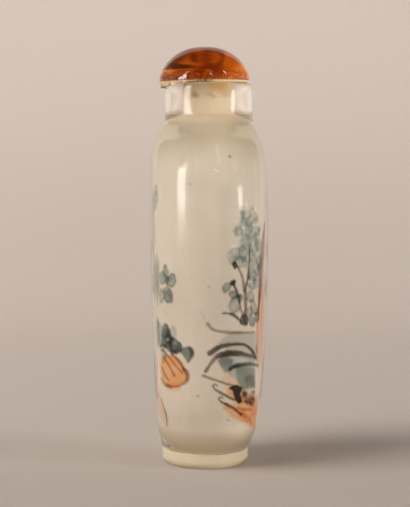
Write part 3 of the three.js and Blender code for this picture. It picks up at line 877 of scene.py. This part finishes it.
def stopper_dome():
    """The amber dome: pebbled in a band just above its base, with grime in the glass, and painted shade: a dark
    streak and dark reflections high on its +Y side, fainter ones high on its -Y side, dark patches round its crown
    and a dark line along its base. A turn is in degrees from the camera's side, and positive towards +Y."""
    dome, points = turned("stopper_dome", dome_profile(), DOME_SIDES, dome_pebbles)
    x, y, height = points.T
    turn = np.degrees(np.arctan2(y, -x))
    blur = 0.7 * (noise(turn / 9, height, 1.1, 33) - 0.5)
    wider = 0.006 * np.clip(turn, 0, 90)
    # Painted shade: a dark streak high across the +Y side, for dark surroundings seen in the glass.
    from_streak = abs(height - 2.5 - 0.003 * turn + 0.4 * blur)
    streak = window(turn, 6, 22, 118, 140) * (1 - ease(from_streak, 0.14 + wider, 0.46 + wider))
    # Painted reflections of dark surroundings: patches high on the +Y side, fainter on -Y, and round the crown.
    painted_dark_left = ease(turn + 5 * (height - 3), 22, 50) * (1 - ease(turn, 112, 150))
    painted_dark_patches = np.maximum(painted_dark_left, 0.5 * window(-turn, 48, 64, 112, 150)) * ease(height + blur, 2.8, 3.5)
    crown = ease(height + 0.5 * blur, 5.8, 6.25) * ease(noise(x, y, 1.5, 34), 0.36, 0.56)
    grime = window(turn, 26, 46, 110, 140) * (1 - ease(height, BAND_HEIGHT - 0.5, BAND_HEIGHT))
    grime *= ease(noise(turn / 7, height, 0.45, 35), 0.35, 0.6)
    # Painted shade: a dark line along the dome's base.
    painted_base_shade = 1 - ease(height, 0.08, 0.2)
    add_layer(dome, "grime_and_painted_shade", np.clip(streak + 0.9 * painted_dark_patches + 0.95 * crown + 0.6 * grime + 0.55 * painted_base_shade, 0, 1))
    stopper_place(dome)
    return dome


def cement_bottom(x, y):
    """How low the old cement reaches under the dome: it fills the overhang beyond the neck's lip on +Y."""
    slope = -(y - CEMENT_END_Y) * CEMENT_DEPTH / (STOPPER_RADIUS - CEMENT_END_Y)
    out = np.hypot(x, y + STOPPER_SHIFT_Y - float(lean_at(RIM_Z)))
    inward = np.clip((NECK_RADIUS + CLEARANCE - out) / LIP_WIDTH, 0, 1)
    drop = (LIP_HEIGHT + CLEARANCE) * (1 - np.sqrt(np.clip(1 - (1 - inward) ** 2, 0, 1)))
    rest = -STOPPER_RADIUS * sin(STOPPER_TILT) + sin(STOPPER_TILT) * y
    lip = np.where(out > NECK_RADIUS + CLEARANCE, -9.0, rest - drop)
    return np.maximum(slope, lip)


def stopper_cement():
    """The old cement: a film over the dome's base, thick and crumbly in the overhang."""
    radii = np.concatenate([np.linspace(0.5, 7.4, 36), np.linspace(7.4, 8.5, 26)[1:]])
    angles = np.arange(DOME_SIDES) * 2 * pi / DOME_SIDES
    r, a = np.meshgrid(radii, angles, indexing="ij")
    x, y = r * np.cos(a), r * np.sin(a)
    lumps = noise(a * STOPPER_RADIUS, r, 0.45, 41) + 0.5 * noise(a * STOPPER_RADIUS, r, 0.22, 42)
    deep = cement_bottom(x, y)
    low = np.minimum(CEMENT_UNDERSIDE, deep + 0.22 * lumps * ease(-deep, 0.1, 0.6))
    gap = (STOPPER_RADIUS - y) * sin(STOPPER_TILT) + CLEARANCE
    bead = (gap - 0.13 + 0.03 * lumps) * (1 - ease(r, 8.1, 8.4))
    top = np.stack([x, y, np.full(x.shape, CEMENT_TOP)], -1).reshape(-1, 3)
    bottom = np.stack([x, y, np.minimum(low, -bead)], -1).reshape(-1, 3)
    points = np.vstack([top, bottom, [[0, 0, CEMENT_TOP]], [[0, 0, CEMENT_UNDERSIDE]]])
    count, rings, edge = len(top), len(radii), len(top) - DOME_SIDES
    faces = grid_faces(rings, DOME_SIDES, True).tolist()
    faces += grid_faces(rings, DOME_SIDES, True, first=count)[:, ::-1].tolist()
    for side in range(DOME_SIDES):
        here, after = edge + side, edge + (side + 1) % DOME_SIDES
        faces.append((here, count + here, count + after, after))
    faces += fan(2 * count, 0, DOME_SIDES, True) + fan(2 * count + 1, count, DOME_SIDES, False)
    cement = mesh_object("stopper_cement", points, faces)
    crumbs = lumps / 1.5 - 0.5
    shade = ease(y + 1.5 * crumbs, -3.0, 0.6) * (0.8 + 0.5 * crumbs)
    add_layer(cement, "age", np.concatenate([np.zeros(count), shade.ravel(), [0, 0]]))
    bed = np.ones((len(points), 3))
    bed[:count] = bed_colours(x.ravel(), y.ravel(), r.ravel())
    bed[-2] = bed[:DOME_SIDES].mean(axis=0)
    add_layer(cement, "bed", bed)
    heights = np.array([face.center.z for face in cement.data.polygons])
    cement.data.polygons.foreach_set("material_index", (heights < 0.05 * MM).astype(np.int32))
    stopper_place(cement)
    return cement


def bed_colours(x, y, r):
    """The colours of the dome's bed: mottled, with faint rings, and with its sides painted paler and warmer as
    painted light, for the glow along the dome's lower edges.
    """
    swirls = 0.6 * noise(x, y, 1.3, 43) + 0.4 * noise(x, y, 0.5, 44)
    patch = ease(swirls, 0.3, 0.75) + 0.8 * np.exp(-((y + 2.1) / 0.6) ** 2)
    patch -= 0.9 * np.exp(-((y + 0.1) / 0.8) ** 2) * ease(abs(x), 6.2, 6.9)
    amber = np.clip(patch, 0, 1)[:, None] * (np.array(BED_LIGHT) - BED_DARK) + BED_DARK
    amber *= (1 + sum(0.5 * np.exp(-((r - place) / 0.05) ** 2) for place in (7.05, 7.4, 7.6)))[:, None]
    # Painted light: the sides of the bed are painted pale and warm.
    beside = y + 0.6 * (swirls - 0.5)
    right = ease(-beside, 2.1, 3.1)
    edge = np.maximum(ease(beside, 2.2, 3.4) * ease(x, 2.0, 4.2), right)[:, None]
    return np.clip(amber * (1 - edge) + np.array(BED_PAINTED_GLOW) * edge, 0, 1)


def cork_pits(turn, height):
    return 0.05 * ease(noise(turn * CORK_TOP_RADIUS, height * 2.4, 0.5, 51), 0.62, 0.85)


def stopper_cork():
    """The cork: a short taper with pitted sides, its top just under the dome."""
    flat, side = CORK_BOTTOM_RADIUS - CORK_EDGE, CORK_LENGTH - CORK_EDGE
    taper = CORK_TOP_RADIUS - CORK_BOTTOM_RADIUS
    profile = [(0, -CORK_LENGTH)] + [(r, -CORK_LENGTH) for r in np.linspace(0.4, flat, 8)]
    profile += [(flat + CORK_EDGE * sin(t), CORK_EDGE * (1 - cos(t)) - CORK_LENGTH)
                for t in np.linspace(0.2, pi / 2, 6)]
    profile += [(CORK_BOTTOM_RADIUS + taper * t, side * (t - 1)) for t in np.linspace(0.05, 1, 26)]
    profile += [(r, 0) for r in np.linspace(CORK_TOP_RADIUS - 0.15, 0.4, 8)] + [(0, 0)]
    cork, _ = turned("stopper_cork_detail", profile, 96, cork_pits)
    cork.location = Vector((0, float(lean_at(RIM_Z)), CORK_TOP_Z)) * MM
    return cork


def amber_glass():
    """Amber glass darkened by grime and by painted shade, its band near the base crazed into small cells."""
    graph = material_graph("amber_glass")
    cells = graph.add("TexVoronoi", {"Vector": graph.place(), "Scale": 1900}, feature="DISTANCE_TO_EDGE")
    veins = graph.ranged(cells, 0.28, 0.02, interpolation_type="SMOOTHSTEP")
    patchy = graph.ranged(graph.noise(1300, 2), 0.38, 0.62)
    height = graph.add("SeparateXYZ", {0: graph.place()}, "Z")
    band = graph.ranged(height, (BAND_HEIGHT + 0.1) * MM, (BAND_HEIGHT - 0.7) * MM, interpolation_type="SMOOTHSTEP")
    crazed = graph.math("MULTIPLY", graph.math("MULTIPLY", veins, patchy), band)
    # Darkens the glass where the dome's layer holds grime and painted shade.
    grimed_and_shaded = graph.mix(graph.layer("grime_and_painted_shade"), (1.0, 0.93, 0.80), (0.035, 0.03, 0.025))
    redder = graph.mix(band, grimed_and_shaded, (0.90, 0.58, 0.26), blend_type="MULTIPLY")
    glass = {"Base Color": graph.mix(crazed, redder, (0.20, 0.07, 0.02)), "Roughness": 0.02, "IOR": 1.54,
             "Normal": graph.bump(crazed, 0.08, 0.00005)}
    return graph.end_as_glass(glass, (0.97, 0.86, 0.6), (0.93, 0.70, 0.12), 170)


def ramp_material(name, scale, detail, stops, roughness, bump, colour=lambda graph, ramp: ramp):
    """A rough material whose colour runs through stops by fine noise, with a matching bump."""
    graph = material_graph(name)
    noise = graph.noise(scale, detail)
    ramp = graph.add("ValToRGB", {"Fac": noise})
    elements = ramp.node.color_ramp.elements
    for element, (position, tint) in zip(elements, (stops[0], stops[-1])):
        element.position, element.color = position, (*tint, 1)
    for position, tint in stops[1:-1]:
        elements.new(position).color = (*tint, 1)
    return graph.end(graph.add("BsdfPrincipled", {
        "Base Color": colour(graph, ramp), "Roughness": roughness, "Specular IOR Level": 0.25,
        "Normal": graph.bump(noise, *bump)}))


def cement_material():
    """Crumbly cement, dark where it is a thin bead against the dome and pale where it lies thick."""
    stops = ((0.42, (0.02, 0.01, 0.006)), (0.49, (0.12, 0.065, 0.03)), (0.58, (0.27, 0.19, 0.10)),
             (0.62, (0.9, 0.80, 0.64)))
    return ramp_material("old_cement", 1900, 6, stops, 0.8, (0.8, 0.0003),
                         lambda graph, ramp: graph.mix(graph.layer("age"), (0.66, 0.50, 0.31), ramp))


def bed_material():
    """The dome's bed, seen through the amber glass: mottled red-brown, painted paler towards its sides as painted
    light.
    """
    stops = ((0.35, (0.9, 0.9, 0.9)), (0.65, (1.0, 1.0, 1.0)))
    return ramp_material("dome_bed", 900, 2, stops, 0.7, (0.1, 0.0001), lambda graph, ramp: graph.add(
        "VectorMath", {0: graph.layer("bed", "Color"), 1: ramp}, operation="MULTIPLY"))


def cork_material():
    stops = ((0.30, (0.16, 0.08, 0.03)), (0.45, (0.45, 0.28, 0.12)), (0.70, (0.62, 0.43, 0.22)))
    return ramp_material("cork", 1500, 6, stops, 0.9, (0.5, 0.0002))


# ---- stage, lights and camera

SWEEP_FRONT_X = -1600.0
SWEEP_START_X = 230.0
SWEEP_RADIUS = 560.0
SWEEP_HALF_WIDTH = 520.0
SWEEP_TOP = 1000.0
PAPER = (0.424, 0.383, 0.364)
PAPER_PAINTED_LIGHT = (  # painted light: metres along the sweep from under the bottle, and how much paler the paper is painted there
    (-0.12, 0.92), (-0.035, 0.93), (0.03, 1.10), (0.13, 1.24), (0.3, 1.5),
    (0.43, 1.58), (0.52, 1.76), (0.61, 1.9), (1.0, 2.1),
)
STAGE_DROP = 0.03
AMBIENT = 0.32
AMBIENT_SIDES = 0.80
AMBIENT_TOP_LOSS = 1.5
AMBIENT_TOP_LEAST = 0.12
WARM = (1.0, 0.925, 0.84)
LIGHTS_AIM = (0, 0, 0.045)
CAMERA_PLACE = (-390, 0.83, 62)
CAMERA_DOWNWARD = 3.2
SOFTBOXES = (  # name, azimuth and elevation in degrees; distance, width and height in metres; watts
    ("key_softbox", 60, 4, 0.7, 0.34, 0.36, 1.9),
    ("high_key_softbox", 60, 48, 0.7, 0.4, 0.4, 4.2),
    ("fill_softbox", -66, 6, 0.75, 0.2, 0.3, 4.3),
    ("back_left_fill", 125, 16, 0.6, 0.2, 0.2, 0.5),
    ("back_right_fill", -125, 16, 0.6, 0.2, 0.2, 0.5),
    ("bounce_card", 0, -7.5, 0.3, 0.3, 0.06, 0.45),
)
GLINTS = (  # the same, for lamps that only show as reflections in the glass
    ("key_glint", 58, 14, 0.7, 0.22, 0.36, 2.5),
    ("fill_glint", -66, 6.5, 0.75, 0.14, 0.14, 0.725),
    ("fill_sparkle", -61, 34, 0.75, 0.02, 0.2, 0.1305),
    ("small_sparkle", -18, 34, 0.7, 0.03, 0.03, 0.0435),
    ("dome_glint", 53, 33, 0.7, 0.1, 0.16, 0.34),
    ("high_glint", 57, 26, 0.7, 0.09, 0.09, 0.1),
)


def stage_set():
    """A plain pale sweep: flat under the bottle, then curving up behind it. Light is painted into its colour: a
    little darker in front of the bottle, paler up the curve and towards its sides.
    """
    profile = [(SWEEP_FRONT_X, 0), (SWEEP_START_X, 0)]
    for angle in np.linspace(0, pi / 2, 33)[1:]:
        profile.append((SWEEP_START_X + SWEEP_RADIUS * sin(angle), SWEEP_RADIUS * (1 - cos(angle))))
    profile = evenly(np.array(profile + [(SWEEP_START_X + SWEEP_RADIUS, SWEEP_TOP)]), 12.0)
    along = np.cumsum(np.concatenate([[SWEEP_FRONT_X], np.linalg.norm(np.diff(profile, axis=0), axis=1)]))
    across = np.linspace(-SWEEP_HALF_WIDTH, SWEEP_HALF_WIDTH, 31)
    points = [(x, y, z - STAGE_DROP) for x, z in profile for y in across]
    sweep = mesh_object("paper_sweep", points, grid_faces(len(profile), len(across), False)[:, ::-1])
    # Painted light: the paper is painted paler up the sweep and towards its sides.
    painted_light_tones = eased(np.interp(along * MM, *zip(*PAPER_PAINTED_LIGHT))[:, None], 12)
    add_layer(sweep, "painted_light_tone", (painted_light_tones * (1 + 0.3 * ease(abs(across), 180, 330))).ravel())
    graph = material_graph("pale_paper")
    fibres = graph.ranged(graph.noise(900, 4), 0.975, 1.025, "To")
    paper = graph.scaled(PAPER, graph.math("MULTIPLY", fibres, graph.layer("painted_light_tone")))
    sweep.data.materials.append(graph.end(graph.add("BsdfPrincipled", {
        "Base Color": paper, "Roughness": 0.9, "Specular IOR Level": 0.1})))


def direction(azimuth, elevation):
    """The way from the bottle to an azimuth, from the camera's side (-X) towards +Y, and an elevation."""
    a, e = radians(azimuth), radians(elevation)
    return Vector((-cos(a) * cos(e), sin(a) * cos(e), sin(e)))


def stand(name, data, place, back):
    """Stands a lamp or camera at a place in metres, with its back this way."""
    obj = bpy.data.objects.new(name, data)
    obj.location = place
    obj.rotation_mode = "QUATERNION"
    obj.rotation_quaternion = back.to_track_quat("Z", "Y")
    bpy.context.scene.collection.objects.link(obj)
    return obj


def softbox(name, azimuth, elevation, distance, width, height, watts, mirrored):
    """An area light aimed at the bottle. A mirrored one is only seen as a reflection in the glass; the others
    only light the scene."""
    lamp = bpy.data.lights.new(name, "AREA")
    lamp.shape = "RECTANGLE"
    lamp.size, lamp.size_y = width, height
    lamp.energy, lamp.color = watts, WARM
    way = direction(azimuth, elevation)
    obj = stand(name, lamp, Vector(LIGHTS_AIM) + way * distance, way)
    obj.visible_camera = False
    obj.visible_diffuse = not mirrored
    obj.visible_glossy = obj.visible_transmission = mirrored


def lights():
    for mirrored, rows in ((False, SOFTBOXES), (True, GLINTS)):
        for row in rows:
            softbox(*row, mirrored)
    graph = Graph(bpy.data.worlds.new("studio"), "OutputWorld")
    way = graph.add("TexCoord", out="Generated")
    y, z = (graph.add("SeparateXYZ", {0: way}, axis) for axis in "YZ")
    sides = graph.math("MULTIPLY_ADD", graph.math("MULTIPLY", y, y), AMBIENT_SIDES, AMBIENT)
    top = graph.math("MULTIPLY_ADD", graph.math("MAXIMUM", z, 0.0), -AMBIENT_TOP_LOSS, 1.0)
    strength = graph.math("MULTIPLY", sides, graph.math("MAXIMUM", top, AMBIENT_TOP_LEAST))
    bpy.context.scene.world = graph.end(graph.add("Background", {"Color": WARM, "Strength": strength}))


def camera():
    data = bpy.data.cameras.new("camera")
    data.lens, data.sensor_width, data.clip_start = 143.5, 36, 0.01
    place = Vector(CAMERA_PLACE) * MM
    bpy.context.scene.camera = stand("camera", data, place, direction(0, CAMERA_DOWNWARD))


def main():
    bpy.context.scene.view_settings.view_transform = "Standard"
    camera()
    lights()
    stage_set()
    pieces = (
        (glass_bottle(), clear_glass(), "bottle", "clear_glass"),
        (stopper_dome(), amber_glass(), "stopper", "amber_glass"),
        (stopper_cork(), cork_material(), "stopper_cork", "cork"),
    )
    for piece, material, node, slot in pieces:
        piece.data.materials.append(material)
        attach(piece, "root")
        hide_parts(node)
    cement = stopper_cement()
    for material in (bed_material(), cement_material()):
        cement.data.materials.append(material)
    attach(cement, "root")
    film = frosted_paint()
    foot = ground_foot()
    foot.data.materials.append(film)
    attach(foot, "root")
    halves = (("inside_painting_near", 0.25, 0.75, NEAR_COLUMNS), ("inside_painting_far", 0.75, 1.25, FAR_COLUMNS))
    for name, low, high, columns in halves:
        half, s, z, seam = film_half(name, low, high, columns)
        paint_wall(half, s, z, seam)
        half.data.materials.append(film)
        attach(half, "root")


main()
